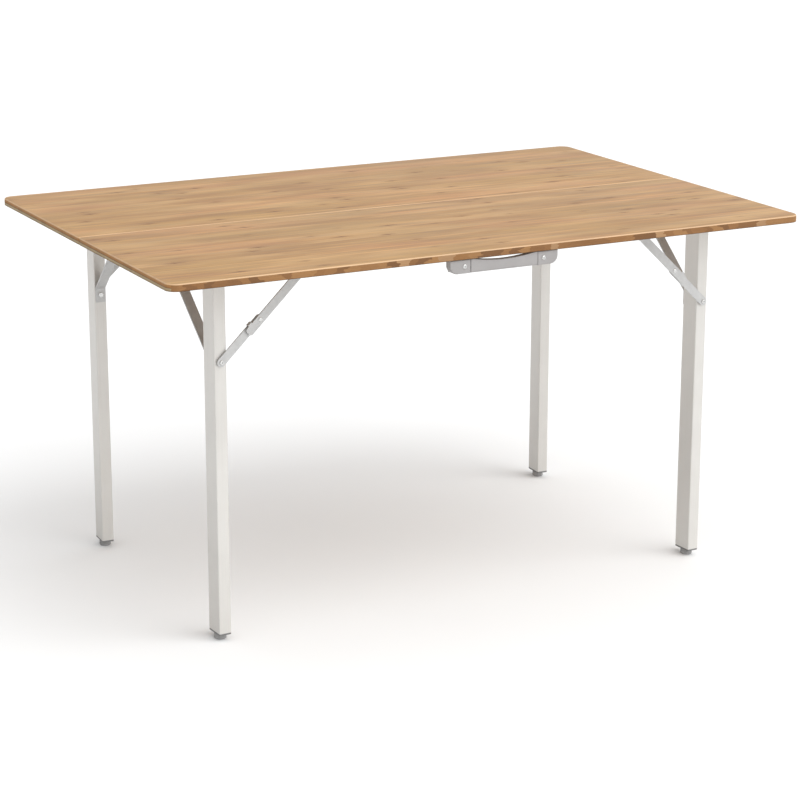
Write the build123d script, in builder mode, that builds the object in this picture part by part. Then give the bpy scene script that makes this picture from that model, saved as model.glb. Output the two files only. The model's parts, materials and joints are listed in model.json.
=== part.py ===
from build123d import *
import math
import os

os.makedirs("parts", exist_ok=True)

# Folding picnic table: two bamboo half tops hinged lengthwise, four legs that fold inward under them.
# +X runs along the long side, -Y is the front with the handle, +Z is up.
# The origin is on the floor, under the middle of the top. Millimetres.

# ---- Top ----
top_length = 1200.0
top_width = 800.0
top_thickness = 13.0
table_height = 650.0
corner_radius = 20.0
top_edge_round = 2.5
under_edge_round = 1.2
seam_gap = 0.8

# ---- Legs ----
leg_inset_x = 130.0
leg_inset_y = 130.0
leg_depth = 22.0
leg_width = 40.0
leg_wall = 1.6
leg_corner = 2.0
lane_gap = 9.0
pivot_drop = 16.0
leg_head = 9.0

# ---- Feet ----
foot_radius = 10.5
foot_height = 11.0
foot_edge = 1.5
cap_thickness = 3.0
spigot_height = 14.0
stud_radius = 4.0
stud_height = 9.0

# ---- Pivot shaft and its blocks ----
cross_radius = 9.0
cross_wall = 1.5
cross_centre_gap = 60.0
cross_end_gap = 1.5
cross_hole_lead = 1.0
block_radius = 12.0
block_length = 22.0
block_flange = 16.0
block_leg_gap = 14.0

# ---- Side strap ----
strap_width = 18.0
strap_thickness = 3.0
strap_tab_below = 14.0
strap_tab_above = 12.0
strap_angle = 42.0
strap_top_tab = 24.0
strap_bend = 4.0

# ---- Folding brace ----
bolt_drop = 136.0
bracket_reach = 145.0
link_width = 15.0
link_thickness = 2.5
leg_to_link = 2.0
link_to_link = 3.0
link_overlap = 31.0
link_end_round = 5.0
stop_tab_place = 18.0
stop_tab_length = 8.0
stop_tab_thickness = 1.8
rivet_radius = 2.5
rivet_head_radius = 4.0
rivet_head_height = 1.5
bolt_head_height = 2.2
washer_radius = 6.0
ear_radius = 9.0
ear_flange = 26.0
bracket_length = 40.0
bracket_screw_out = 15.6
bracket_screw_spread = 24.0

# ---- Seam hinges ----
hinge_drop = 30.0
hinge_spacing = 360.0
hinge_length = 70.0
hinge_flange = 42.0
hinge_screw_out = 29.4
knuckle_radius = 5.0
hinge_pin_radius = 2.5
web_offset = 1.5

# ---- Handle ----
handle_length = 206.0
handle_cap_length = 39.0
handle_cap_depth = 14.0
handle_height = 23.5
handle_setback = 3.0
handle_top_gap = 0.5
handle_corner = 14.0
handle_edge = 2.0
handle_joint_gap = 0.4
grip_dip = 6.0
grip_dip_length = 118.0
grip_depth = 12.5
grip_round = 3.5
handle_screw_place = 75.5
handle_screw_drop = 12.0
handle_screw_head = 1.5
handle_strap_height = 10.0
handle_strap_thickness = 1.5
handle_strap_end = 8.0
handle_strap_margin = 1.0
handle_slot_travel = 8.0
handle_bracket_length = 30.0
handle_bracket_flange = 28.0
handle_bracket_screw_out = 18.2
handle_bracket_screw_spread = 16.0

# ---- Screws, plates and clearances ----
plate = 2.5
screw_radius = 2.0
screw_head_radius = 4.0
screw_head_height = 2.0
screw_bite = 8.0
bolt_radius = 3.0
bolt_head_radius = 5.0
nut_bite = 3.0
side_clearance = 0.3
running_clearance = 0.1
fit_clearance = 0.05

# ---- Derived places ----
underside = table_height - top_thickness
pivot_height = underside - pivot_drop
hinge_height = underside - hinge_drop
leg_x = top_length / 2 - leg_inset_x
leg_y = top_width / 2 - leg_inset_y
tube_bottom = foot_height + cap_thickness
tube_top = pivot_height + leg_head
bolt_height = pivot_height - bolt_drop
leg_face = leg_width / 2

# The leg units are turned a little about the vertical, so that folded legs lie side by side.
lane_angle = math.atan((leg_width + lane_gap) / (2 * leg_x))

# Brace links: together they span bolt to bracket, and they fold one over the other.
brace_span = math.hypot(bolt_drop, bracket_reach)
upper_link = (brace_span + bracket_reach - bolt_drop) / 2
lower_link = (brace_span - bracket_reach + bolt_drop) / 2
brace_angle = math.degrees(math.atan2(bolt_drop, bracket_reach))
along = (bracket_reach / brace_span, bolt_drop / brace_span)
mid_pivot = (along[0] * lower_link, bolt_height + along[1] * lower_link)
lower_inner = leg_face + leg_to_link
lower_outer = lower_inner + link_thickness
upper_inner = lower_outer + link_to_link
upper_outer = upper_inner + link_thickness
ear_inner = upper_outer + side_clearance
ear_outer = ear_inner + plate

# Side strap: from the leg's inner face up to the cross tube.
strap_top = pivot_height - cross_radius - strap_thickness / 2
strap_start = bolt_height + strap_tab_above
strap_reach = leg_face + (strap_top - strap_start) / math.tan(math.radians(strap_angle))
strap_bolt_place = strap_reach + strap_top_tab / 2

# Blocks sit beside the leg and near the shaft's inner end.
shaft_end = leg_y - cross_centre_gap
block_places = (leg_face + block_leg_gap + block_length / 2, shaft_end - block_length)
block_screw_place = block_radius + block_flange / 2

LEGS = {"fl": (-1, -1), "fr": (1, -1), "bl": (-1, 1), "br": (1, 1)}


class LegFrame:
    """One leg unit's own directions: inward along the fold, outward along the pivot shaft, and up."""

    def __init__(self, side, row):
        turn_cos = math.cos(lane_angle)
        turn_sin = math.sin(lane_angle)
        self.base = Vector(side * leg_x, row * leg_y, 0)
        self.inward = Vector(-side * turn_cos, side * row * turn_sin, 0)
        self.outward = Vector(turn_sin, row * turn_cos, 0)
        self.axis = self.inward.cross(Vector(0, 0, 1))
        self.sign = 1 if self.axis.dot(self.outward) > 0 else -1

    def floor(self, height, inward=0.0, outward=0.0):
        """Horizontal plane at a height, x along inward."""
        spot = self.base + self.inward * inward + self.outward * outward + Vector(0, 0, height)
        return Plane(origin=spot, x_dir=self.inward, z_dir=(0, 0, 1))

    def side(self, outward):
        """Upright plane square to the shaft: x is inward, y is the height."""
        return Plane(origin=self.base + self.outward * outward, x_dir=self.inward, z_dir=self.axis)

    def end(self):
        """Upright plane along the shaft: x is outward, y is the height."""
        return Plane(origin=self.base, x_dir=self.outward, z_dir=self.outward.cross(Vector(0, 0, 1)))

    def spot(self, inward, outward):
        """Place seen from above, as X and Y."""
        place = self.base + self.inward * inward + self.outward * outward
        return (place.X, place.Y)


def save(piece, name):
    piece.part.label = name
    export_step(piece.part, f"parts/{name}.step")


def round_steps(frame, place, steps):
    """Adds round steps along the shaft direction: each is start, end and radius."""
    for start, end, radius in steps:
        with BuildSketch(frame.side(start)) as step:
            with Locations(place):
                Circle(radius)
        extrude(step.sketch, amount=(end - start) * frame.sign)


def round_hole(frame, place, start, end, radius):
    """Cuts a round hole along the shaft direction."""
    with BuildSketch(frame.side(start)) as mouth:
        with Locations(place):
            Circle(radius)
    extrude(mouth.sketch, amount=(end - start) * frame.sign, mode=Mode.SUBTRACT)


frames = {name: LegFrame(side, row) for name, (side, row) in LEGS.items()}

# ---- Leg units ----
bracket_place = (bracket_reach, pivot_height)
bolt_place = (0, bolt_height)
pivot_place = (0, pivot_height)

for leg, frame in frames.items():
    with BuildPart() as leg_tube:
        with BuildSketch(frame.floor(tube_bottom)):
            RectangleRounded(leg_depth, leg_width, leg_corner)
            RectangleRounded(
                leg_depth - 2 * leg_wall,
                leg_width - 2 * leg_wall,
                leg_corner - leg_wall / 2,
                mode=Mode.SUBTRACT,
            )
        extrude(amount=tube_top - tube_bottom)
        round_hole(frame, pivot_place, -leg_face, -leg_face + leg_wall, cross_radius + fit_clearance)
        round_hole(frame, bolt_place, -leg_face, -leg_face + leg_wall, bolt_radius + fit_clearance)
    save(leg_tube, f"leg_tube_{leg}")

    with BuildPart() as leg_cap:
        with BuildSketch(frame.floor(foot_height)):
            RectangleRounded(leg_depth, leg_width, leg_corner)
        extrude(amount=cap_thickness)
        with BuildSketch(frame.floor(tube_bottom)):
            RectangleRounded(
                leg_depth - 2 * leg_wall - 2 * running_clearance,
                leg_width - 2 * leg_wall - 2 * running_clearance,
                leg_corner - leg_wall / 2,
            )
        extrude(amount=spigot_height)
        with BuildSketch(frame.floor(foot_height)):
            Circle(stud_radius + fit_clearance)
        extrude(amount=stud_height + fit_clearance, mode=Mode.SUBTRACT)
    save(leg_cap, f"leg_cap_{leg}")

    with BuildPart() as foot:
        with BuildSketch(frame.floor(0)):
            Circle(foot_radius)
        extrude(amount=foot_height)
        chamfer(foot.edges().group_by(Axis.Z)[0], foot_edge)
        fillet(foot.edges().group_by(Axis.Z)[-1], foot_edge)
        with BuildSketch(frame.floor(foot_height)):
            Circle(stud_radius)
        extrude(amount=stud_height)
    save(foot, f"foot_{leg}")

    with BuildPart() as cross_tube:
        with BuildSketch(frame.side(-shaft_end)):
            with Locations(pivot_place):
                Circle(cross_radius)
                Circle(cross_radius - cross_wall, mode=Mode.SUBTRACT)
        extrude(amount=(shaft_end + leg_face - leg_wall - cross_end_gap) * frame.sign)
        with BuildSketch(frame.floor(pivot_height - cross_radius - cross_hole_lead, outward=-strap_bolt_place)):
            Circle(bolt_radius + fit_clearance)
        extrude(amount=cross_radius, mode=Mode.SUBTRACT)
    save(cross_tube, f"cross_tube_{leg}")

    with BuildPart() as side_strap:
        with BuildSketch(frame.end()):
            with BuildLine():
                FilletPolyline(
                    (-leg_face - strap_thickness / 2, bolt_height - strap_tab_below),
                    (-leg_face - strap_thickness / 2, strap_start),
                    (-strap_reach, strap_top),
                    (-strap_reach - strap_top_tab, strap_top),
                    radius=strap_bend,
                )
            trace(line_width=strap_thickness)
        extrude(amount=strap_width / 2, both=True)
        round_hole(
            frame, bolt_place, -leg_face - 2 * strap_thickness, -leg_face, bolt_radius + fit_clearance
        )
        with BuildSketch(frame.floor(strap_top - strap_thickness, outward=-strap_bolt_place)):
            Circle(bolt_radius + fit_clearance)
        extrude(amount=2 * strap_thickness, mode=Mode.SUBTRACT)
    save(side_strap, f"side_strap_{leg}")

    with BuildPart() as strap_bolts:
        tab_face = -leg_face - strap_thickness
        round_steps(
            frame,
            bolt_place,
            [
                (tab_face - bolt_head_height, tab_face, bolt_head_radius),
                (tab_face, -leg_face + leg_wall + nut_bite, bolt_radius),
            ],
        )
        tab_under = strap_top - strap_thickness / 2
        with BuildSketch(frame.floor(tab_under - bolt_head_height, outward=-strap_bolt_place)):
            Circle(bolt_head_radius)
        extrude(amount=bolt_head_height)
        with BuildSketch(frame.floor(tab_under, outward=-strap_bolt_place)):
            Circle(bolt_radius)
        extrude(amount=strap_thickness + cross_wall + nut_bite)
    save(strap_bolts, f"strap_bolts_{leg}")

    with BuildPart() as brace_upper:
        # Half the upper link's length either side of its middle, then the end that laps the lower link.
        upper_middle = (
            bracket_reach - along[0] * upper_link / 2,
            pivot_height - along[1] * upper_link / 2,
        )
        lap_middle = (
            mid_pivot[0] - along[0] * (link_overlap - link_width / 2) / 2,
            mid_pivot[1] - along[1] * (link_overlap - link_width / 2) / 2,
        )
        tab_middle = (
            mid_pivot[0] - along[0] * stop_tab_place,
            mid_pivot[1] - along[1] * stop_tab_place,
        )
        tab_side = link_width / 2 + side_clearance + stop_tab_thickness / 2
        tab_root = link_width / 2 - link_thickness / 2
        tab_plate = (tab_side + stop_tab_thickness / 2 + tab_root) / 2
        with BuildSketch(frame.side(upper_inner)):
            with Locations(upper_middle):
                SlotCenterToCenter(upper_link, link_width, rotation=brace_angle)
            with Locations(lap_middle):
                RectangleRounded(
                    link_overlap + link_width / 2, link_width, link_end_round, rotation=brace_angle
                )
            with Locations((tab_middle[0] - along[1] * tab_plate, tab_middle[1] + along[0] * tab_plate)):
                Rectangle(
                    stop_tab_length,
                    tab_side + stop_tab_thickness / 2 - tab_root,
                    rotation=brace_angle,
                )
            with Locations(bracket_place):
                Circle(rivet_radius + running_clearance, mode=Mode.SUBTRACT)
            with Locations(mid_pivot):
                Circle(rivet_radius + fit_clearance, mode=Mode.SUBTRACT)
        extrude(amount=link_thickness * frame.sign)
        with BuildSketch(frame.side(lower_inner)):
            with Locations((tab_middle[0] - along[1] * tab_side, tab_middle[1] + along[0] * tab_side)):
                Rectangle(stop_tab_length, stop_tab_thickness, rotation=brace_angle)
        extrude(amount=(upper_inner - lower_inner) * frame.sign)
    save(brace_upper, f"brace_upper_{leg}")

    with BuildPart() as brace_rivet:
        round_steps(
            frame,
            mid_pivot,
            [
                (lower_inner - rivet_head_height, lower_inner, rivet_head_radius),
                (lower_inner, upper_outer, rivet_radius),
                (lower_outer + side_clearance, upper_inner, rivet_head_radius),
                (upper_outer, upper_outer + rivet_head_height, rivet_head_radius),
            ],
        )
    save(brace_rivet, f"brace_rivet_{leg}")

    with BuildPart() as brace_lower:
        with BuildSketch(frame.side(lower_inner)):
            with Locations((mid_pivot[0] / 2, (mid_pivot[1] + bolt_height) / 2)):
                SlotCenterToCenter(lower_link, link_width, rotation=brace_angle)
            with Locations(mid_pivot):
                Circle(rivet_radius + running_clearance, mode=Mode.SUBTRACT)
            with Locations(bolt_place):
                Circle(bolt_radius + fit_clearance, mode=Mode.SUBTRACT)
        extrude(amount=link_thickness * frame.sign)
    save(brace_lower, f"brace_lower_{leg}")

    with BuildPart() as brace_bolt:
        round_steps(
            frame,
            bolt_place,
            [
                (leg_face + side_clearance, lower_inner, washer_radius),
                (lower_inner, lower_outer, bolt_radius),
                (lower_outer, lower_outer + bolt_head_height, rivet_head_radius),
            ],
        )
    save(brace_bolt, f"brace_bolt_{leg}")

# ---- Under each half top: blocks, brace brackets, hinges and screws ----
bracket_screws = [
    (bracket_reach + side * bracket_screw_spread / 2, ear_inner + bracket_screw_out) for side in (-1, 1)
]
hinge_centres = (-hinge_spacing, 0.0, hinge_spacing)
third = hinge_length / 3
knuckle_length = third - side_clearance
half_width = (top_width - seam_gap) / 2
handle_front = -top_width / 2 + handle_setback
handle_back = handle_front + handle_cap_depth
handle_bracket_middle = (handle_length - handle_cap_length) / 2
handle_bracket_screws = [
    (side * handle_bracket_middle + offset, handle_back + handle_bracket_screw_out)
    for side in (-1, 1)
    for offset in (-handle_bracket_screw_spread / 2, handle_bracket_screw_spread / 2)
]

for half, row in (("front", -1), ("back", 1)):
    half_frames = [frames[leg] for leg in LEGS if LEGS[leg][1] == row]
    screw_places = []
    for frame in half_frames:
        for outward in block_places:
            screw_places.append(frame.spot(block_screw_place, -outward))
            screw_places.append(frame.spot(-block_screw_place, -outward))
        for inward, outward in bracket_screws:
            screw_places.append(frame.spot(inward, outward))
    for centre in hinge_centres:
        for offset in (-third, third):
            screw_places.append((centre + offset, row * hinge_screw_out))
    if row < 0:
        screw_places.extend(handle_bracket_screws)

    with BuildPart() as pivot_blocks:
        for frame in half_frames:
            for outward in block_places:
                with BuildSketch(frame.side(-outward - block_length / 2)):
                    with Locations((0, underside - plate / 2)):
                        Rectangle(2 * (block_radius + block_flange), plate)
                    with Locations((0, underside - pivot_drop / 2)):
                        Rectangle(2 * block_radius, pivot_drop)
                    with Locations(pivot_place):
                        Circle(block_radius)
                        Circle(cross_radius + running_clearance, mode=Mode.SUBTRACT)
                extrude(amount=block_length * frame.sign)
                for inward in (-block_screw_place, block_screw_place):
                    with BuildSketch(frame.floor(underside - plate, inward, -outward)):
                        Circle(screw_radius + running_clearance)
                    extrude(amount=plate, mode=Mode.SUBTRACT)
    save(pivot_blocks, f"pivot_blocks_{half}")

    with BuildPart() as brace_brackets:
        for frame in half_frames:
            with BuildSketch(frame.side(ear_inner)):
                with Locations((bracket_reach, underside - pivot_drop / 2)):
                    Rectangle(2 * ear_radius, pivot_drop)
                with Locations((bracket_reach, underside - plate / 2)):
                    Rectangle(bracket_length, plate)
                with Locations(bracket_place):
                    Circle(ear_radius)
                    Circle(rivet_radius + fit_clearance, mode=Mode.SUBTRACT)
            extrude(amount=plate * frame.sign)
            with BuildSketch(frame.floor(underside - plate, bracket_reach, ear_inner + ear_flange / 2)):
                Rectangle(bracket_length, ear_flange)
            extrude(amount=plate)
            for inward, outward in bracket_screws:
                with BuildSketch(frame.floor(underside - plate, inward, outward)):
                    Circle(screw_radius + running_clearance)
                extrude(amount=plate, mode=Mode.SUBTRACT)
    save(brace_brackets, f"brace_brackets_{half}")

    with BuildPart() as bracket_rivets:
        for frame in half_frames:
            round_steps(
                frame,
                bracket_place,
                [
                    (upper_inner - rivet_head_height, upper_inner, rivet_head_radius),
                    (upper_inner, ear_outer, rivet_radius),
                    (ear_outer, ear_outer + rivet_head_height, rivet_head_radius),
                ],
            )
    save(bracket_rivets, f"bracket_rivets_{half}")

    # The front leaf has the outer knuckles and the back leaf the middle one.
    own_knuckles = (-third, third) if row < 0 else (0.0,)
    other_knuckles = (0.0,) if row < 0 else (-third, third)
    with BuildPart() as hinge_leaves:
        for centre in hinge_centres:
            web_middle = row * (web_offset + plate / 2)
            with BuildSketch(Plane.XY.offset(underside - plate)):
                with Locations((centre, row * (web_offset + hinge_flange / 2))):
                    Rectangle(hinge_length, hinge_flange)
            extrude(amount=plate)
            with BuildSketch(Plane.XY.offset(hinge_height)):
                with Locations((centre, web_middle)):
                    Rectangle(hinge_length, plate)
            extrude(amount=hinge_drop)
            for offset in other_knuckles:
                cut_start = centre + offset - third / 2 - side_clearance
                with BuildSketch(Plane.YZ.offset(cut_start)):
                    with Locations((0, hinge_height)):
                        Circle(knuckle_radius + 2 * side_clearance)
                extrude(amount=third + 2 * side_clearance, mode=Mode.SUBTRACT)
            for offset in own_knuckles:
                with BuildSketch(Plane.YZ.offset(centre + offset - knuckle_length / 2)):
                    with Locations((0, hinge_height)):
                        Circle(knuckle_radius)
                extrude(amount=knuckle_length)
            with BuildSketch(Plane.YZ.offset(centre - hinge_length / 2)):
                with Locations((0, hinge_height)):
                    Circle(hinge_pin_radius + running_clearance)
            extrude(amount=hinge_length, mode=Mode.SUBTRACT)
            for offset in (-third, third):
                with BuildSketch(Plane.XY.offset(underside - plate)):
                    with Locations((centre + offset, row * hinge_screw_out)):
                        Circle(screw_radius + running_clearance)
                extrude(amount=plate, mode=Mode.SUBTRACT)
    save(hinge_leaves, f"hinge_leaves_{half}")

    with BuildPart() as screws:
        with BuildSketch(Plane.XY.offset(underside - plate - screw_head_height)):
            with Locations(*screw_places):
                Circle(screw_head_radius)
        extrude(amount=screw_head_height)
        with BuildSketch(Plane.XY.offset(underside - plate)):
            with Locations(*screw_places):
                Circle(screw_radius)
        extrude(amount=plate + screw_bite)
    save(screws, f"mounting_screws_{half}")

    with BuildPart() as top_half:
        with BuildSketch(Plane.XY.offset(underside)) as outline:
            with Locations((0, row * (seam_gap + half_width) / 2)):
                Rectangle(top_length, half_width)
            outer = outline.vertices().group_by(Axis.Y)[0 if row < 0 else -1]
            fillet(outer, corner_radius)
        extrude(amount=top_thickness)
        fillet(top_half.faces().sort_by(Axis.Z)[-1].edges(), top_edge_round)
        fillet(top_half.faces().sort_by(Axis.Z)[0].edges(), under_edge_round)
        with BuildSketch(Plane.XY.offset(underside)):
            with Locations(*screw_places):
                Circle(screw_radius)
        extrude(amount=screw_bite, mode=Mode.SUBTRACT)
    save(top_half, f"top_{half}")

with BuildPart() as hinge_pins:
    for centre in hinge_centres:
        with BuildSketch(Plane.YZ.offset(centre - hinge_length / 2)):
            with Locations((0, hinge_height)):
                Circle(hinge_pin_radius)
        extrude(amount=hinge_length)
save(hinge_pins, "hinge_pins")

# ---- Handle under the front edge ----
handle_top = underside - handle_top_gap
handle_middle = handle_top - handle_height / 2
screw_level = underside - handle_screw_drop
cap_inner = handle_length / 2 - handle_cap_length
grip_half = cap_inner - handle_joint_gap
strap_layer = handle_front + handle_cap_depth / 2

with BuildPart() as handle_caps:
    for side in (-1, 1):
        with BuildSketch(Plane.XZ.offset(-handle_back)) as cap_outline:
            with Locations((side * handle_bracket_middle, handle_middle)):
                Rectangle(handle_cap_length, handle_height)
            low_edge = cap_outline.vertices().group_by(Axis.Y)[0]
            low_outer = low_edge.sort_by(Axis.X)[0 if side < 0 else -1]
            fillet(low_outer, handle_corner)
        extrude(amount=handle_cap_depth)
    fillet(handle_caps.faces().sort_by(Axis.Y)[0:2].edges(), handle_edge)
    for side in (-1, 1):
        slot_length = handle_cap_length - handle_strap_end
        with BuildSketch(Plane.XZ.offset(-strap_layer - handle_strap_thickness / 2 - running_clearance)):
            with Locations((side * (cap_inner + slot_length / 2), screw_level)):
                Rectangle(slot_length, handle_strap_height + 2 * running_clearance)
        extrude(amount=handle_strap_thickness + 2 * running_clearance, mode=Mode.SUBTRACT)
        with BuildSketch(Plane.XZ.offset(-handle_back)):
            with Locations((side * handle_screw_place, screw_level)):
                Circle(screw_radius + running_clearance)
        extrude(amount=handle_cap_depth, mode=Mode.SUBTRACT)
save(handle_caps, "handle_caps")

with BuildPart() as handle_grip:
    with BuildSketch(Plane.XZ.offset(-handle_front - grip_depth)) as grip_outline:
        with BuildLine():
            Line((-grip_half, handle_top), (-grip_dip_length / 2, handle_top))
            ThreePointArc(
                (-grip_dip_length / 2, handle_top),
                (0, handle_top - grip_dip),
                (grip_dip_length / 2, handle_top),
            )
            Line((grip_dip_length / 2, handle_top), (grip_half, handle_top))
            Line((grip_half, handle_top), (grip_half, handle_top - handle_height))
            Line((grip_half, handle_top - handle_height), (-grip_half, handle_top - handle_height))
            Line((-grip_half, handle_top - handle_height), (-grip_half, handle_top))
        make_face()
    extrude(amount=grip_depth)
    fillet(handle_grip.faces().sort_by(Axis.Z)[0].edges().filter_by(Axis.X), grip_round)
    with BuildSketch(Plane.XZ.offset(-strap_layer - handle_strap_thickness / 2 - running_clearance)):
        with Locations((0, screw_level)):
            Rectangle(2 * grip_half, handle_strap_height + 2 * running_clearance)
    extrude(amount=handle_strap_thickness + 2 * running_clearance, mode=Mode.SUBTRACT)
save(handle_grip, "handle_grip")

# The steel strap inside the handle has slots for the cap screws, so its ends can slide a little.
with BuildPart() as handle_strap:
    with BuildSketch(Plane.XZ.offset(-strap_layer - handle_strap_thickness / 2)):
        with Locations((0, screw_level)):
            Rectangle(
                handle_length - 2 * (handle_strap_end + handle_strap_margin),
                handle_strap_height,
            )
        with Locations((-handle_screw_place, screw_level), (handle_screw_place, screw_level)):
            SlotCenterToCenter(
                handle_slot_travel, 2 * (screw_radius + running_clearance), mode=Mode.SUBTRACT
            )
    extrude(amount=handle_strap_thickness)
save(handle_strap, "handle_strap")

with BuildPart() as handle_brackets:
    for side in (-1, 1):
        with BuildSketch(Plane.XY.offset(underside - plate)):
            with Locations((side * handle_bracket_middle, handle_back + handle_bracket_flange / 2)):
                Rectangle(handle_bracket_length, handle_bracket_flange)
        extrude(amount=plate)
        with BuildSketch(Plane.XY.offset(handle_top - handle_height + handle_edge)):
            with Locations((side * handle_bracket_middle, handle_back + plate / 2)):
                Rectangle(handle_bracket_length, plate)
        extrude(amount=handle_height - handle_edge)
        with BuildSketch(Plane.XZ.offset(-handle_back - plate)):
            with Locations((side * handle_screw_place, screw_level)):
                Circle(screw_radius + fit_clearance)
        extrude(amount=plate, mode=Mode.SUBTRACT)
    with BuildSketch(Plane.XY.offset(underside - plate)):
        with Locations(*handle_bracket_screws):
            Circle(screw_radius + running_clearance)
    extrude(amount=plate, mode=Mode.SUBTRACT)
save(handle_brackets, "handle_brackets")

with BuildPart() as handle_screws:
    for side in (-1, 1):
        with BuildSketch(Plane.XZ.offset(-handle_front)):
            with Locations((side * handle_screw_place, screw_level)):
                Circle(screw_head_radius)
        extrude(amount=handle_screw_head)
        with BuildSketch(Plane.XZ.offset(-handle_back - plate - nut_bite)):
            with Locations((side * handle_screw_place, screw_level)):
                Circle(screw_radius)
        extrude(amount=handle_back + plate + nut_bite - handle_front)
save(handle_screws, "handle_screws")
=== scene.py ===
import json
import math

import bmesh
import bpy
from mathutils import Matrix, Vector


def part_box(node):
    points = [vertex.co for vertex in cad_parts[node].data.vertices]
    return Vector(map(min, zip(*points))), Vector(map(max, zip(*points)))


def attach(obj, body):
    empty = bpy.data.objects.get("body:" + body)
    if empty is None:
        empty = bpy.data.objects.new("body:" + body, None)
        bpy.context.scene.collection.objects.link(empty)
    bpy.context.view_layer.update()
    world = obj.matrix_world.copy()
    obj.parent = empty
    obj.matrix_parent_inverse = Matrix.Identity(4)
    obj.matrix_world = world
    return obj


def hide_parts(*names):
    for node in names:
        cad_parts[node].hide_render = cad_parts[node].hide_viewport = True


# Folding picnic table: bamboo half tops, aluminium legs, steel braces and straps, plastic handle.
# Metres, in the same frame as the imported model: X is the long side, -Y the front, Z up.
MM = 0.001

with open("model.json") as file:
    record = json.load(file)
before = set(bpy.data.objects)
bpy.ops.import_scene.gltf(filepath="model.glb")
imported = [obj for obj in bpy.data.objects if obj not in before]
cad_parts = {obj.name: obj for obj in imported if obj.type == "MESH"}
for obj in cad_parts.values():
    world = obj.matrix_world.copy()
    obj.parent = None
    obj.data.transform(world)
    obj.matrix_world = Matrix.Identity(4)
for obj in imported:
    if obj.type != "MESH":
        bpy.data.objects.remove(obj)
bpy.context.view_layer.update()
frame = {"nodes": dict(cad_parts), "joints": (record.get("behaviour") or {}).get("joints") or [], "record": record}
record = frame["record"]
body_of = {node: body for body, members in record["behaviour"]["bodies"].items() for node in members}
slot_of = {row["node"]: row["material_slot"] for row in record["subparts"]}
LEGS = ("fl", "fr", "bl", "br")
HALVES = ("front", "back")


# ---------------------------------------------------------------- shader kit


class Value:
    """One node output. Arithmetic on it adds Math nodes."""

    def __init__(self, nodes, socket):
        self.nodes = nodes
        self.socket = socket

    def math(self, operation, *others):
        return self.nodes.node("ShaderNodeMath", {"operation": operation}, (self, *others))

    def __add__(self, other):
        return self.math("ADD", other)

    def __mul__(self, other):
        return self.math("MULTIPLY", other)

    def __sub__(self, other):
        return self.math("SUBTRACT", other)

    def __truediv__(self, other):
        return self.math("DIVIDE", other)

    def __gt__(self, other):
        return self.math("GREATER_THAN", other)

    def __lt__(self, other):
        return self.math("LESS_THAN", other)

    def __rsub__(self, other):
        return self.nodes.node("ShaderNodeMath", {"operation": "SUBTRACT"}, (other, self))

    __radd__ = __add__
    __rmul__ = __mul__


class Nodes:
    """A node tree, and the one method that adds nodes to it."""

    def __init__(self, tree):
        self.tree = tree

    def node(self, kind, settings=None, inputs=(), output=0):
        made = self.tree.nodes.new(kind)
        for key, value in (settings or {}).items():
            if key == "stops":
                self.set_stops(made.color_ramp, value)
            else:
                setattr(made, key, value)
        pairs = inputs.items() if isinstance(inputs, dict) else enumerate(inputs)
        for key, value in pairs:
            self.feed(made.inputs[key], value)
        return Value(self, made.outputs[output])

    def set_stops(self, ramp, stops):
        while len(ramp.elements) < len(stops):
            ramp.elements.new(0.5)
        for element, (position, colour) in zip(ramp.elements, stops):
            element.position = position
            element.color = (*colour, 1)

    def feed(self, socket, value):
        if isinstance(value, Value):
            self.tree.links.new(value.socket, socket)
        elif hasattr(value, "__len__") and len(value) == 3 and socket.type == "RGBA":
            socket.default_value = (*value, 1)
        else:
            socket.default_value = value


class Recipe(Nodes):
    """A material, written as sums on Values."""

    def __init__(self, name):
        self.material = bpy.data.materials.new(name)
        self.material.use_nodes = True
        super().__init__(self.material.node_tree)
        self.shader = self.tree.nodes["Principled BSDF"]

    def place(self):
        return self.node("ShaderNodeTexCoord", output="Object")

    def split(self, vector):
        apart = self.node("ShaderNodeSeparateXYZ", inputs=(vector,))
        outputs = apart.socket.node.outputs
        return [Value(self, outputs[axis]) for axis in "XYZ"]

    def vector(self, x, y, z):
        return self.node("ShaderNodeCombineXYZ", inputs=(x, y, z))

    def noise(self, vector, scale, detail=2.0, roughness=0.5):
        sockets = {"Vector": vector, "Scale": scale, "Detail": detail, "Roughness": roughness}
        return self.node("ShaderNodeTexNoise", inputs=sockets)

    def chance(self, *cells):
        """A fixed random number from 0 to 1 for each cell."""
        whole = list(cells) + [0.0] * (3 - len(cells))
        return self.node("ShaderNodeTexWhiteNoise", inputs={"Vector": self.vector(*whole)})

    def between(self, value, low, high, start=0.0, end=1.0):
        """Rises smoothly from start to end as value goes from low to high."""
        sockets = {"Value": value, "From Min": low, "From Max": high, "To Min": start, "To Max": end}
        return self.node("ShaderNodeMapRange", {"interpolation_type": "SMOOTHSTEP"}, sockets)

    def ramp(self, value, stops):
        return self.node("ShaderNodeValToRGB", {"stops": stops}, (value,))

    def mix(self, factor, first, second):
        return self.node("ShaderNodeMix", {"data_type": "RGBA"}, {0: factor, 6: first, 7: second}, output=2)

    def shade(self, colour, amount):
        """Scales a colour by a number."""
        return self.node("ShaderNodeVectorMath", {"operation": "SCALE"}, {"Vector": colour, "Scale": amount})

    def bump(self, height, depth, strength):
        return self.node("ShaderNodeBump", inputs={"Height": height, "Distance": depth, "Strength": strength})

    def finish(self, colour, roughness, metallic=0.0, normal=None, coat=0.0, coat_roughness=0.2):
        self.feed(self.shader.inputs["Base Color"], colour)
        self.feed(self.shader.inputs["Roughness"], roughness)
        self.feed(self.shader.inputs["Metallic"], metallic)
        self.feed(self.shader.inputs["Coat Weight"], coat)
        self.shader.inputs["Coat Roughness"].default_value = coat_roughness
        if normal is not None:
            self.feed(self.shader.inputs["Normal"], normal)
        return self.material


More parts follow.
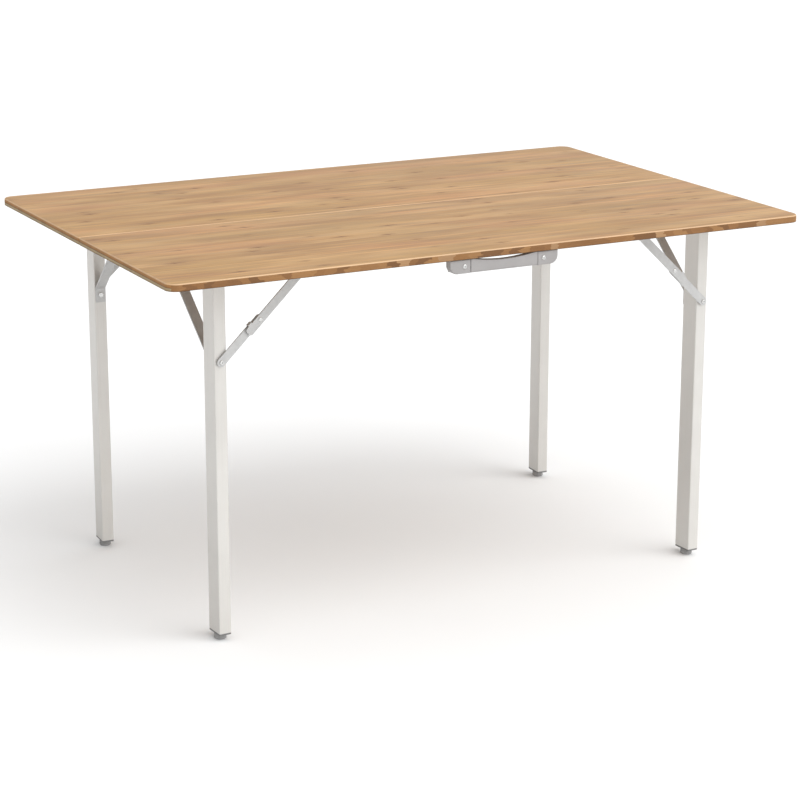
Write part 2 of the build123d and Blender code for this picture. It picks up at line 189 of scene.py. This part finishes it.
# ---------------------------------------------------------------- camera, light and floor

CAMERA_PLACE = Vector((-1.9946, -3.8462, 1.5094))
CAMERA_TURN = 0.4808
CAMERA_TIP = 0.2748
CAMERA_ROLL = 0.0015
CAMERA_LENS = 110.5
SENSOR_WIDTH = 36.0
# The surroundings glow most towards this direction.
SOFT_BOX_SIDE = (0.50, -0.30, 0.81)
DARK_SIDE = 0.05
BRIGHT_SIDE = 1.22
KEY_SIDE = Vector((1.6, -3.1, 3.3))
KEY_SPREAD = 65
KEY_STRENGTH = 1.7
KEY_COLOUR = (1.0, 1.0, 0.995)
FLOOR_REACH = 400.0


def add_camera():
    forward = Vector(
        (
            math.sin(CAMERA_TURN) * math.cos(CAMERA_TIP),
            math.cos(CAMERA_TURN) * math.cos(CAMERA_TIP),
            -math.sin(CAMERA_TIP),
        )
    )
    level = Vector((math.cos(CAMERA_TURN), -math.sin(CAMERA_TURN), 0))
    upright = level.cross(forward)
    right = level * math.cos(CAMERA_ROLL) + upright * math.sin(CAMERA_ROLL)
    top = upright * math.cos(CAMERA_ROLL) - level * math.sin(CAMERA_ROLL)
    camera = bpy.data.objects.new("camera", bpy.data.cameras.new("camera"))
    camera.data.lens = CAMERA_LENS
    camera.data.sensor_width = SENSOR_WIDTH
    turn = Matrix((right, top, -forward)).transposed()
    camera.matrix_world = Matrix.Translation(CAMERA_PLACE) @ turn.to_4x4()
    bpy.context.scene.collection.objects.link(camera)
    bpy.context.scene.camera = camera


def add_key_light():
    """A large soft light in front of the table, to the right and above."""
    light = bpy.data.lights.new("key", "SUN")
    light.angle = math.radians(KEY_SPREAD)
    light.energy = KEY_STRENGTH
    light.color = KEY_COLOUR
    lamp = bpy.data.objects.new("key", light)
    lamp.location = KEY_SIDE
    lamp.rotation_euler = KEY_SIDE.to_track_quat("Z", "Y").to_euler()
    bpy.context.scene.collection.objects.link(lamp)


def add_surroundings():
    """A white glow all round, brightest towards the soft box."""
    world = bpy.data.worlds.new("studio")
    world.use_nodes = True
    sky = Nodes(world.node_tree)
    look = sky.node("ShaderNodeTexCoord", output="Generated")
    facing = sky.node("ShaderNodeVectorMath", {"operation": "DOT_PRODUCT"}, (look, SOFT_BOX_SIDE), "Value")
    glow = {"Value": facing, "From Min": -1, "To Min": DARK_SIDE, "To Max": BRIGHT_SIDE}
    background = sky.tree.nodes["Background"]
    sky.feed(background.inputs["Color"], (1.0, 1.0, 1.0))
    sky.feed(background.inputs["Strength"], sky.node("ShaderNodeMapRange", inputs=glow))
    bpy.context.scene.world = world
    bpy.context.scene.view_settings.view_transform = "Standard"


def add_floor():
    floor_mesh = bpy.data.meshes.new("floor")
    corners = [(FLOOR_REACH * x, FLOOR_REACH * y, 0) for x, y in ((-1, -1), (1, -1), (1, 1), (-1, 1))]
    floor_mesh.from_pydata(corners, [], [(0, 1, 2, 3)])
    floor = bpy.data.objects.new("floor", floor_mesh)
    bpy.context.scene.collection.objects.link(floor)
    plaster = Recipe("floor_plaster")
    tint = plaster.noise(plaster.place(), 3.0, 2)
    plaster.finish(plaster.ramp(tint, [(0.0, (0.865, 0.868, 0.870)), (1.0, (0.895, 0.898, 0.900))]), 0.9)
    floor_mesh.materials.append(plaster.material)


add_camera()
add_surroundings()
add_key_light()
add_floor()


# ---------------------------------------------------------------- materials

STRIP_WIDTH = 0.0205
CORNER_RADIUS = 20 * MM
TOP_LOW, TOP_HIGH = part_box("top_front")
TOP_THICKNESS = TOP_HIGH.z - TOP_LOW.z


def bamboo():
    """Narrow bamboo strips along X with dark nodes, pale glue lines, banded short ends and blocky long edges; a
    painted highlight along the rounded upper edges and the middle seam, and painted shade underneath and along the
    bottom of the long edges.
    """
    r = Recipe("bamboo")
    x, y, z = r.split(r.place())
    strips = y / STRIP_WIDTH
    strip = strips.math("FLOOR")
    across = strips.math("FRACT")

    # Colour: each strip has its own tone, which drifts along it, over soft patches of the whole top.
    drift = r.noise(r.vector(x * 2.2, strip * 5.7, 0.0), 1.0, 2.0, 0.6)
    patch = r.noise(r.vector(x * 4.5, y * 26.0, 7.0), 1.0, 3.0, 0.6)
    hue = r.noise(r.vector(x * 3.0, y * 13.0, 21.0), 1.0, 2.0, 0.5)
    depth = r.between(drift * 0.5 + patch * 0.5, 0.36, 0.64)
    face = r.ramp(
        depth,
        [(0.0, (0.325, 0.162, 0.048)), (0.5, (0.398, 0.216, 0.074)), (1.0, (0.482, 0.282, 0.110))],
    )
    face = r.mix(r.between(hue, 0.50, 0.66) * 0.50, face, (0.468, 0.226, 0.086))
    face = r.mix(r.between(hue, 0.50, 0.34) * 0.50, face, (0.402, 0.230, 0.072))

    # Long fibres, fine and coarse.
    fine = r.noise(r.vector(x * 14.0, y * 1100.0, z * 1100.0), 1.0, 2.0, 0.6)
    coarse = r.noise(r.vector(x * 5.0, y * 330.0, z * 330.0), 1.0, 3.0, 0.65)
    streak = r.noise(r.vector(x * 7.0, y * 120.0, 13.0), 1.0, 2.0, 0.6)
    fibre = fine * 0.28 + coarse * 1.02 + streak * 0.66 + 0.02

    # Nodes: a soft streaky dark dash over part of a strip, at a different place in each strip.
    node_pitch = 0.24
    steps = (x + r.chance(strip, 11.0) * 4.0) / node_pitch
    node_cell = steps.math("FLOOR")
    size = r.chance(strip, node_cell, 29.0)
    from_node = (steps.math("FRACT") - 0.5).math("ABSOLUTE") * node_pitch
    dash_middle = r.chance(strip, node_cell, 17.0) * 0.5 + 0.25
    from_middle = (across - dash_middle).math("ABSOLUTE")
    ragged = r.noise(r.vector(x * 34.0, y * 620.0, 2.0), 1.0, 4.0, 0.8)
    along_dash = r.between(from_node + (ragged - 0.5) * 0.07, size * 0.018 + 0.008, -0.002)
    dash = along_dash * r.between(from_middle + (ragged - 0.5) * 0.5, 0.28, 0.02)
    shown = r.between(size, 0.28, 0.80)
    mark = dash * shown * 0.88 + r.between(from_node, 0.0030, 0.0008) * shown * 0.12

    # Glue lines: most are barely darker, a few are pale.
    from_side = (0.5 - (across - 0.5).math("ABSOLUTE")) * STRIP_WIDTH
    line = r.between(from_side, 0.0009, 0.0002)
    pale_line = r.between(from_side, 0.0024, 0.0004)
    pale = r.chance(strips.math("ROUND"), 31.0) > 0.62
    broken = r.between(r.noise(r.vector(x * 3.0, strip * 3.3, 9.0), 1.0, 2.0), 0.35, 0.6)
    joint = 1.0 - line * (1.0 - pale) * 0.10 + pale_line * pale * broken * 0.26
    face = r.mix(mark, r.shade(face, fibre * joint), (0.185, 0.078, 0.020))

    # Painted highlight: the rounded upper edges, along the outside and along the middle seam, are painted paler
    # where they would catch the light.
    level = (z - TOP_LOW.z) / TOP_THICKNESS
    past_x = (x.math("ABSOLUTE") - (TOP_HIGH.x - CORNER_RADIUS)).math("MAXIMUM", 0.0)
    past_y = (y.math("ABSOLUTE") - (-TOP_LOW.y - CORNER_RADIUS)).math("MAXIMUM", 0.0)
    inset = CORNER_RADIUS - (past_x * past_x + past_y * past_y).math("SQRT")
    outer = r.between(inset, 2.0 * MM, 1.2 * MM)
    inner = r.between(y.math("ABSOLUTE"), 2.8 * MM, 1.8 * MM)
    painted_highlight = outer.math("MAXIMUM", inner) * (level > 0.84)
    face = r.mix(painted_highlight * 0.55, face, (0.72, 0.50, 0.31))
    # Painted shade: the underside and the bottom rim of the edges are darkened and greyed.
    face = r.mix((level < 0.06) * 0.45, face, (0.150, 0.115, 0.080))

    # Short ends: bands of the layers. Long edges: blocks along the strip.
    dots = r.noise(r.vector(x * 900.0, y * 700.0, z * 900.0), 1.0, 2.0, 0.7)
    ends = r.ramp(
        level,
        [
            (0.00, (0.120, 0.070, 0.030)),
            (0.09, (0.150, 0.090, 0.042)),
            (0.16, (0.310, 0.228, 0.125)),
            (0.38, (0.360, 0.268, 0.150)),
            (0.45, (0.130, 0.068, 0.026)),
            (0.54, (0.290, 0.132, 0.038)),
            (0.90, (0.370, 0.182, 0.060)),
        ],
    )
    ends = r.shade(ends, dots * 0.3 + r.chance(strip, 41.0) * 0.2 + 0.75)
    block_length = 19 * MM
    uneven = r.noise(r.vector(x * 34.0, 0.0, z * 90.0), 1.0, 2.0) * 0.055
    block = ((x + uneven) / block_length).math("FLOOR")
    side = r.ramp(
        r.chance(block, 43.0) * 0.8 + dots * 0.2,
        [(0.15, (0.165, 0.073, 0.022)), (0.40, (0.232, 0.106, 0.033)), (0.75, (0.292, 0.145, 0.050))],
    )
    side = r.mix((r.chance(block, 47.0) > 0.84) * 0.55, side, (0.44, 0.27, 0.14))
    layer = r.noise(r.vector(x * 12.0, 0.0, z * 500.0), 1.0, 2.0)
    # Faint layers along the long edges, with painted shade darkening them towards their bottom.
    side = r.shade(side, (layer * 0.4 + 0.78) * r.between(level, 0.02, 0.13, 0.35, 1.0))
    below_face = level < 0.84
    above_under = level > 0.01
    rim = 1.3 * MM
    at_end = (past_x - past_y) > 0.0
    in_seam = y.math("ABSOLUTE") < rim
    wall = (inset < rim).math("MAXIMUM", in_seam) * below_face * above_under
    colour = r.mix(wall, face, r.mix(at_end, side, ends))

    relief = fine * 0.5 + coarse * 0.5 - mark * 0.8 - line * 0.5
    return r.finish(
        colour,
        fibre * 0.20 + 0.26 + mark * 0.1 + wall * 0.30,
        normal=r.bump(relief, 0.00012, 0.7),
        coat=0.08 - wall * 0.08,
        coat_roughness=0.34,
    )


def aluminium():
    """Satin anodised extrusion: faint draw lines up the tube, a few handling marks near the floor."""
    r = Recipe("leg_aluminium")
    x, y, z = r.split(r.place())
    draw = r.noise(r.vector(x * 1500.0, y * 1500.0, z * 5.0), 1.0, 2.0, 0.6)
    cloud = r.noise(r.place(), 14.0, 3.0)
    scuff = r.noise(r.vector(x * 260.0, y * 260.0, z * 60.0), 1.0, 4.0, 0.75)
    worn = r.between(scuff, 0.64, 0.74) * r.between(z, 0.16, 0.01)
    colour = r.ramp(draw * 0.5 + cloud * 0.5, [(0.25, (0.590, 0.573, 0.545)), (0.75, (0.675, 0.660, 0.632))])
    colour = r.shade(colour, 1.0 - worn * 0.22)
    rough = draw * 0.10 + cloud * 0.08 + worn * 0.2 + 0.30
    return r.finish(colour, rough, 0.45, r.bump(draw * 0.6 + scuff * 0.4, 0.00004, 0.6))


def zinc_steel(name, light, dark, roughness, metallic):
    """Zinc-plated sheet: soft mottling, small scratches, slightly darker in patches."""
    r = Recipe(name)
    place = r.place()
    x, y, z = r.split(place)
    mottle = r.noise(place, 85.0, 4.0, 0.65)
    scratch = r.noise(r.vector(x * 180.0 + z * 900.0, y * 180.0, z * 260.0 - x * 900.0), 1.0, 2.0, 0.7)
    colour = r.ramp(mottle * 0.7 + scratch * 0.3, [(0.3, dark), (0.7, light)])
    rough = mottle * 0.18 + scratch * 0.12 + roughness - 0.15
    return r.finish(colour, rough, metallic, r.bump(mottle * 0.4 + scratch * 0.6, 0.00005, 0.6))


def moulded(name, colour, lighter, roughness, grain):
    """Moulded plastic or rubber: a fine spark-eroded grain and faint flow marks."""
    r = Recipe(name)
    place = r.place()
    skin = r.noise(place, grain, 3.0, 0.6)
    flow = r.noise(place, 26.0, 3.0, 0.5)
    tint = r.ramp(flow * 0.6 + skin * 0.4, [(0.3, colour), (0.7, lighter)])
    rough = skin * 0.16 + flow * 0.10 + roughness - 0.13
    return r.finish(tint, rough, 0.0, r.bump(skin, 0.00010, 0.8))


MATERIALS = {
    "bamboo": bamboo(),
    "leg_aluminium": aluminium(),
    "brace_steel": zinc_steel("brace_steel", (0.562, 0.562, 0.558), (0.450, 0.451, 0.449), 0.42, 0.32),
    "plated_steel": zinc_steel("plated_steel", (0.60, 0.60, 0.59), (0.48, 0.48, 0.47), 0.42, 0.6),
    "fastener_steel": zinc_steel("fastener_steel", (0.70, 0.70, 0.69), (0.54, 0.54, 0.53), 0.26, 0.9),
    "cap_plastic": moulded("cap_plastic", (0.150, 0.149, 0.147), (0.195, 0.193, 0.190), 0.52, 1900.0),
    "foot_rubber": moulded("foot_rubber", (0.285, 0.280, 0.276), (0.350, 0.344, 0.340), 0.72, 1500.0),
    "block_plastic": moulded("block_plastic", (0.030, 0.030, 0.032), (0.050, 0.050, 0.052), 0.50, 2100.0),
    "handle_plastic": moulded("handle_plastic", (0.285, 0.272, 0.268), (0.340, 0.326, 0.322), 0.55, 1700.0),
}


# ---------------------------------------------------------------- mesh kit


def own_piece(name, mesh, node, smooth):
    """A finished mesh becomes a piece that rides with a CAD node, stands for it and takes its slot.
    Edges sharper than smooth, in degrees, stay crisp."""
    mesh.shade_smooth()
    mesh.set_sharp_from_angle(angle=math.radians(smooth))
    mesh.materials.clear()
    mesh.materials.append(MATERIALS[slot_of[node]])
    piece = bpy.data.objects.new(name, mesh)
    bpy.context.scene.collection.objects.link(piece)
    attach(piece, body_of[node])
    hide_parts(node)


def evaluated(holder):
    """The holder's mesh with its modifiers in it. The holder is thrown away."""
    graph = bpy.context.evaluated_depsgraph_get()
    mesh = bpy.data.meshes.new_from_object(holder.evaluated_get(graph), depsgraph=graph)
    bpy.data.objects.remove(holder)
    return mesh


def softened(mesh, width):
    """Rounds a mesh's hard edges."""
    holder = bpy.data.objects.new("holder", mesh)
    bpy.context.scene.collection.objects.link(holder)
    bevel = holder.modifiers.new("edges", "BEVEL")
    bevel.width = width
    bevel.segments = 3
    bevel.limit_method = "ANGLE"
    bevel.angle_limit = math.radians(40)
    flats = holder.modifiers.new("flats", "WEIGHTED_NORMAL")
    flats.keep_sharp = True
    mesh.shade_smooth()
    return evaluated(holder)


def merged_copy(node):
    """A CAD node's mesh with its loose triangles joined into clean faces."""
    mesh = frame["nodes"][node].data.copy()
    made = bmesh.new()
    made.from_mesh(mesh)
    bmesh.ops.remove_doubles(made, verts=made.verts, dist=2e-6)
    bmesh.ops.dissolve_limit(
        made, angle_limit=math.radians(0.4), verts=made.verts, edges=made.edges, use_dissolve_boundaries=False
    )
    made.to_mesh(mesh)
    made.free()
    return mesh


def islands(node):
    """The vertices of each separate solid in a CAD node."""
    made = bmesh.new()
    made.from_mesh(frame["nodes"][node].data)
    bmesh.ops.remove_doubles(made, verts=made.verts, dist=2e-6)
    left = set(made.verts)
    found = []
    for first in made.verts:
        if first not in left:
            continue
        left.remove(first)
        queue = [first]
        group = []
        while queue:
            vert = queue.pop()
            group.append(vert.co.copy())
            for edge in vert.link_edges:
                other = edge.other_vert(vert)
                if other in left:
                    left.remove(other)
                    queue.append(other)
        found.append(group)
    made.free()
    return found


# ---------------------------------------------------------------- half tops

SEAM_CORNER = 3.2 * MM
TOP_ROUND = 2.5 * MM
UNDER_ROUND = 1.2 * MM
CORNER_STEPS = 14
ROUND_STEPS = 6


def rounded_outline(low, high, inset, corners):
    """Points round a rectangle, inset by a distance. Corners are radii, from low-low anticlockwise."""
    middles = (
        (low.x, low.y, 1, 1, 180),
        (high.x, low.y, -1, 1, 270),
        (high.x, high.y, -1, -1, 0),
        (low.x, high.y, 1, -1, 90),
    )
    points = []
    for (corner_x, corner_y, way_x, way_y, start), radius in zip(middles, corners):
        for step in range(CORNER_STEPS + 1):
            angle = math.radians(start + 90 * step / CORNER_STEPS)
            reach = radius - inset
            points.append(
                (
                    corner_x + way_x * radius + reach * math.cos(angle),
                    corner_y + way_y * radius + reach * math.sin(angle),
                )
            )
    return points


def top_panel(half):
    """One half top: a slab with rounded corners and rounded edges above and below."""
    low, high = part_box(f"top_{half}")
    corners = [CORNER_RADIUS, CORNER_RADIUS, SEAM_CORNER, SEAM_CORNER]
    if half == "back":
        corners.reverse()
    rings = []
    for step in range(ROUND_STEPS + 1):
        angle = math.radians(90 * step / ROUND_STEPS)
        rings.append((UNDER_ROUND * (1 - math.sin(angle)), low.z + UNDER_ROUND * (1 - math.cos(angle))))
    for step in range(ROUND_STEPS + 1):
        angle = math.radians(90 * step / ROUND_STEPS)
        rings.append((TOP_ROUND * (1 - math.cos(angle)), high.z - TOP_ROUND * (1 - math.sin(angle))))
    made = bmesh.new()
    loops = []
    for inset, height in rings:
        outline = rounded_outline(low, high, inset, corners)
        loops.append([made.verts.new((x, y, height)) for x, y in outline])
    for below, above in zip(loops, loops[1:]):
        for index in range(len(below)):
            after = (index + 1) % len(below)
            made.faces.new((below[index], below[after], above[after], above[index]))
    made.faces.new(list(reversed(loops[0])))
    made.faces.new(loops[-1])
    mesh = bpy.data.meshes.new(f"top_{half}")
    made.to_mesh(mesh)
    made.free()
    own_piece(f"top_{half}_panel", mesh, f"top_{half}", 30)


# ---------------------------------------------------------------- turned pieces

DOME_STEPS = 5


def ring_radius(kind, size, angle):
    """Radius of a recess outline at an angle: a cross slot or a hexagon socket."""
    if kind == "cross":
        return size if math.cos(4 * angle) > 0.35 else size * 0.40
    part = (angle % (math.pi / 3)) - math.pi / 6
    return size * math.cos(math.pi / 6) / math.cos(part)


def turned(name, profile, segments, recess=None, six_sided=None):
    """A solid of revolution about Z. The profile is radius and height, from the bottom up.
    A recess is its kind, size and depth, cut into the top.
    six_sided holds the first and last profile point of a hexagon head."""
    made = bmesh.new()
    angles = [2 * math.pi * index / segments for index in range(segments)]
    rings = []
    for index, (radius, height) in enumerate(profile):
        six = six_sided is not None and six_sided[0] <= index <= six_sided[1]
        ring = []
        for angle in angles:
            reach = ring_radius("hexagon", radius, angle) if six else radius
            ring.append(made.verts.new((reach * math.cos(angle), reach * math.sin(angle), height)))
        rings.append(ring)
    if recess:
        kind, size, depth = recess
        top = profile[-1][1]
        for scale, drop in ((1.0, 0.0), (0.92, depth), (0.25, depth)):
            ring = []
            for angle in angles:
                reach = ring_radius(kind, size, angle) * scale
                ring.append(made.verts.new((reach * math.cos(angle), reach * math.sin(angle), top - drop)))
            rings.append(ring)
    for below, above in zip(rings, rings[1:]):
        for index in range(segments):
            after = (index + 1) % segments
            made.faces.new((below[index], below[after], above[after], above[index]))
    made.faces.new(list(reversed(rings[0])))
    made.faces.new(rings[-1])
    bmesh.ops.recalc_face_normals(made, faces=made.faces)
    mesh = bpy.data.meshes.new(name)
    made.to_mesh(mesh)
    made.free()
    return mesh


def domed(radius, base, height, flat=0.3):
    """Profile points of a domed head. flat is the share of its radius that is left flat on top."""
    points = [(radius * 0.97, base), (radius, base + height * 0.12)]
    for step in range(1, DOME_STEPS + 1):
        angle = math.radians(90 * step / DOME_STEPS)
        reach = radius * (flat + (1 - flat) * math.cos(angle))
        points.append((reach, base + height * (0.12 + 0.88 * math.sin(angle))))
    return points


# Each fastener's shape from its length, both in millimetres, drawn up the Z axis from its tail to its head.
# It is a profile, a recess or None, and a hexagon head's first and last point or None.


def brace_rivet_shape(length):
    tail = [(1.6, 0.0), (3.3, 0.15), (4.0, 0.8), (4.0, 1.5)]
    spacer = [(2.5, 1.52), (2.5, 4.3), (4.0, 4.32), (4.0, 6.98), (2.5, 7.0)]
    profile = tail + spacer + [(2.5, length - 1.5)] + domed(4.0, length - 1.48, 1.48)
    return profile, None, None


def bracket_rivet_shape(length):
    tail = [(3.2, 0.0), (4.0, 0.4), (4.0, 1.48), (2.5, 1.5)]
    profile = tail + [(2.5, length - 1.5)] + domed(4.0, length - 1.48, 1.48)
    return profile, None, None


def leg_bolt_shape(length):
    washer = [(5.6, 0.0), (6.0, 0.3), (6.0, 1.4), (5.7, 1.68), (3.0, 1.7)]
    profile = washer + [(3.0, length - 2.2)] + domed(4.0, length - 2.18, 2.18, flat=0.62)
    return profile, ("hexagon", 1.7, 1.3), None


def strap_bolt_shape(length):
    shank = [(2.4, 0.0), (3.0, 0.6), (3.0, length - 2.2)]
    head = [(4.9, length - 2.18), (5.0, length - 1.9), (5.0, length - 0.35), (4.5, length - 0.02)]
    return shank + head + [(3.2, length)], None, (3, 6)


def screw_shape(length):
    shank = [(0.5, 0.0), (2.0, 2.4), (2.0, length - 2.0)]
    return shank + domed(4.0, length - 1.98, 1.98, flat=0.50), ("cross", 1.8, 1.1), None


def handle_screw_shape(length):
    shank = [(1.5, 0.0), (2.0, 0.6), (2.0, length - 1.5)]
    return shank + domed(4.0, length - 1.48, 1.48, flat=0.52), ("cross", 1.8, 0.9), None


def fastener_tree():
    """Geometry nodes: a fastener at each point, turned along the point's facing vector and spun at random."""
    tree = bpy.data.node_groups.new("fasteners", "GeometryNodeTree")
    tree.interface.new_socket("Geometry", in_out="INPUT", socket_type="NodeSocketGeometry")
    tree.interface.new_socket("Fastener", in_out="INPUT", socket_type="NodeSocketObject")
    tree.interface.new_socket("Finish", in_out="INPUT", socket_type="NodeSocketMaterial")
    spin = tree.interface.new_socket("Most spin", in_out="INPUT", socket_type="NodeSocketFloat")
    spin.default_value = math.pi
    seed = tree.interface.new_socket("Seed", in_out="INPUT", socket_type="NodeSocketInt")
    seed.default_value = 7
    tree.interface.new_socket("Geometry", in_out="OUTPUT", socket_type="NodeSocketGeometry")
    made = Nodes(tree)
    given = {socket.name: Value(made, socket) for socket in tree.nodes.new("NodeGroupInput").outputs}
    shape = made.node("GeometryNodeObjectInfo", inputs={"Object": given["Fastener"]}, output="Geometry")
    facing = made.node("GeometryNodeInputNamedAttribute", {"data_type": "FLOAT_VECTOR"}, {"Name": "facing"})
    aligned = made.node("FunctionNodeAlignRotationToVector", {"axis": "Z"}, {"Vector": facing})
    draw = {3: given["Most spin"], "Seed": given["Seed"]}
    angle = made.node("FunctionNodeRandomValue", {"data_type": "FLOAT"}, draw, 1)
    twist = made.node("FunctionNodeAxisAngleToRotation", inputs={"Angle": angle})
    turn = {"Rotation": aligned, "Rotate By": twist}
    spun = made.node("FunctionNodeRotateRotation", {"rotation_space": "LOCAL"}, turn)
    placed = {"Points": given["Geometry"], "Instance": shape, "Rotation": spun}
    copies = made.node("GeometryNodeInstanceOnPoints", inputs=placed)
    real = made.node("GeometryNodeRealizeInstances", inputs={"Geometry": copies})
    coated = made.node("GeometryNodeSetMaterial", inputs={"Geometry": real, "Material": given["Finish"]})
    made.feed(tree.nodes.new("NodeGroupOutput").inputs["Geometry"], coated)
    return tree


FASTENER_TREE = fastener_tree()


def fastener_row(node, shape, facings):
    """Puts one fastener on each solid of a CAD node. facings says which way each head looks."""
    solids = islands(node)
    starts = []
    length = 0.0
    for solid, facing in zip(solids, facings(solids)):
        along = [point.dot(facing) for point in solid]
        middle = sum(solid, Vector()) / len(solid)
        middle = middle - facing * middle.dot(facing)
        starts.append((middle + facing * min(along), facing))
        length = max(along) - min(along)
    profile, recess, six_sided = shape(length / MM)
    profile = [(radius * MM, height * MM) for radius, height in profile]
    if recess:
        recess = (recess[0], recess[1] * MM, recess[2] * MM)
    fastener = bpy.data.objects.new("fastener", turned("fastener", profile, 24, recess, six_sided))
    bpy.context.scene.collection.objects.link(fastener)
    points = bpy.data.meshes.new("points")
    points.from_pydata([start for start, _ in starts], [], [])
    attribute = points.attributes.new("facing", "FLOAT_VECTOR", "POINT")
    for index, (_, facing) in enumerate(starts):
        attribute.data[index].vector = facing
    holder = bpy.data.objects.new("holder", points)
    bpy.context.scene.collection.objects.link(holder)
    modifier = holder.modifiers.new("fasteners", "NODES")
    modifier.node_group = FASTENER_TREE
    inputs = [item for item in FASTENER_TREE.interface.items_tree if item.in_out == "INPUT"]
    sockets = {item.name: item.identifier for item in inputs}
    modifier[sockets["Fastener"]] = fastener
    modifier[sockets["Finish"]] = MATERIALS[slot_of[node]]
    mesh = evaluated(holder)
    bpy.data.objects.remove(fastener)
    own_piece(f"{node}_turned", mesh, node, 32)


def outward_of(leg):
    """The direction from the table's middle line out along a leg's pivot shaft."""
    joint = next(joint for joint in frame["joints"] if joint["name"] == f"leg_fold_{leg}")
    axis = Vector(joint["axis"])
    row = -1 if leg[0] == "f" else 1
    return axis if axis.y * row > 0 else -axis


def nearest_leg(point):
    row = "f" if point.y < 0 else "b"
    return row + ("l" if point.x < 0 else "r")


def facing_outward(solids):
    return [outward_of(nearest_leg(solid[0])) for solid in solids]


def facing_down(solids):
    return [Vector((0, 0, -1)) for _ in solids]


def facing_front(solids):
    return [Vector((0, -1, 0)) for _ in solids]


def facing_strap(solids):
    """The lower strap bolt looks at the table's middle line, the upper one looks down."""
    levels = [sum(point.z for point in solid) / len(solid) for solid in solids]
    return [
        Vector((0, 0, -1)) if level == max(levels) else -outward_of(nearest_leg(solid[0]))
        for solid, level in zip(solids, levels)
    ]


# ---------------------------------------------------------------- feet


def rubber_foot(leg):
    low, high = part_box(f"foot_{leg}")
    radius = (high.x - low.x) / 2 / MM
    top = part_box(f"leg_cap_{leg}")[0].z / MM
    profile = [
        (radius * 0.30, 0.5),
        (radius * 0.36, 0.05),
        (radius * 0.80, 0.0),
        (radius * 0.90, 0.35),
        (radius * 0.97, 1.1),
        (radius, 2.2),
        (radius, top * 0.44),
        (radius * 0.965, top * 0.48),
        (radius * 0.965, top * 0.53),
        (radius, top * 0.57),
        (radius, top * 0.80),
        (radius * 0.97, top * 0.90),
        (radius * 0.90, top * 0.97),
        (radius * 0.80, top),
        (4.0, top + 0.02),
        (4.0, high.z / MM),
    ]
    mesh = turned("foot", [(r * MM, z * MM) for r, z in profile], 48)
    middle = (low + high) / 2
    mesh.transform(Matrix.Translation((middle.x, middle.y, 0)))
    own_piece(f"foot_{leg}_rubber", mesh, f"foot_{leg}", 40)


# ---------------------------------------------------------------- pieces

EDGE_WIDTHS = {
    "leg_tube": 0.35,
    "leg_cap": 0.45,
    "cross_tube": 0.25,
    "side_strap": 0.40,
    "brace_upper": 0.40,
    "brace_lower": 0.40,
    "pivot_blocks": 0.60,
    "brace_brackets": 0.40,
    "hinge_leaves": 0.40,
    "hinge_pins": 0.50,
    "handle_caps": 0.60,
    "handle_grip": 0.90,
    "handle_strap": 0.20,
    "handle_brackets": 0.40,
}


def softened_node(node):
    kind = next(kind for kind in EDGE_WIDTHS if node.startswith(kind))
    mesh = softened(merged_copy(node), EDGE_WIDTHS[kind] * MM)
    own_piece(f"{node}_finished", mesh, node, 38)


for half in HALVES:
    top_panel(half)
    fastener_row(f"mounting_screws_{half}", screw_shape, facing_down)
    fastener_row(f"bracket_rivets_{half}", bracket_rivet_shape, facing_outward)
for leg in LEGS:
    rubber_foot(leg)
    fastener_row(f"brace_rivet_{leg}", brace_rivet_shape, facing_outward)
    fastener_row(f"brace_bolt_{leg}", leg_bolt_shape, facing_outward)
fastener_row("handle_screws", handle_screw_shape, facing_front)
for node in sorted(frame["nodes"]):
    if any(node.startswith(kind) for kind in EDGE_WIDTHS):
        softened_node(node)
for leg in LEGS:
    fastener_row(f"strap_bolts_{leg}", strap_bolt_shape, facing_strap)
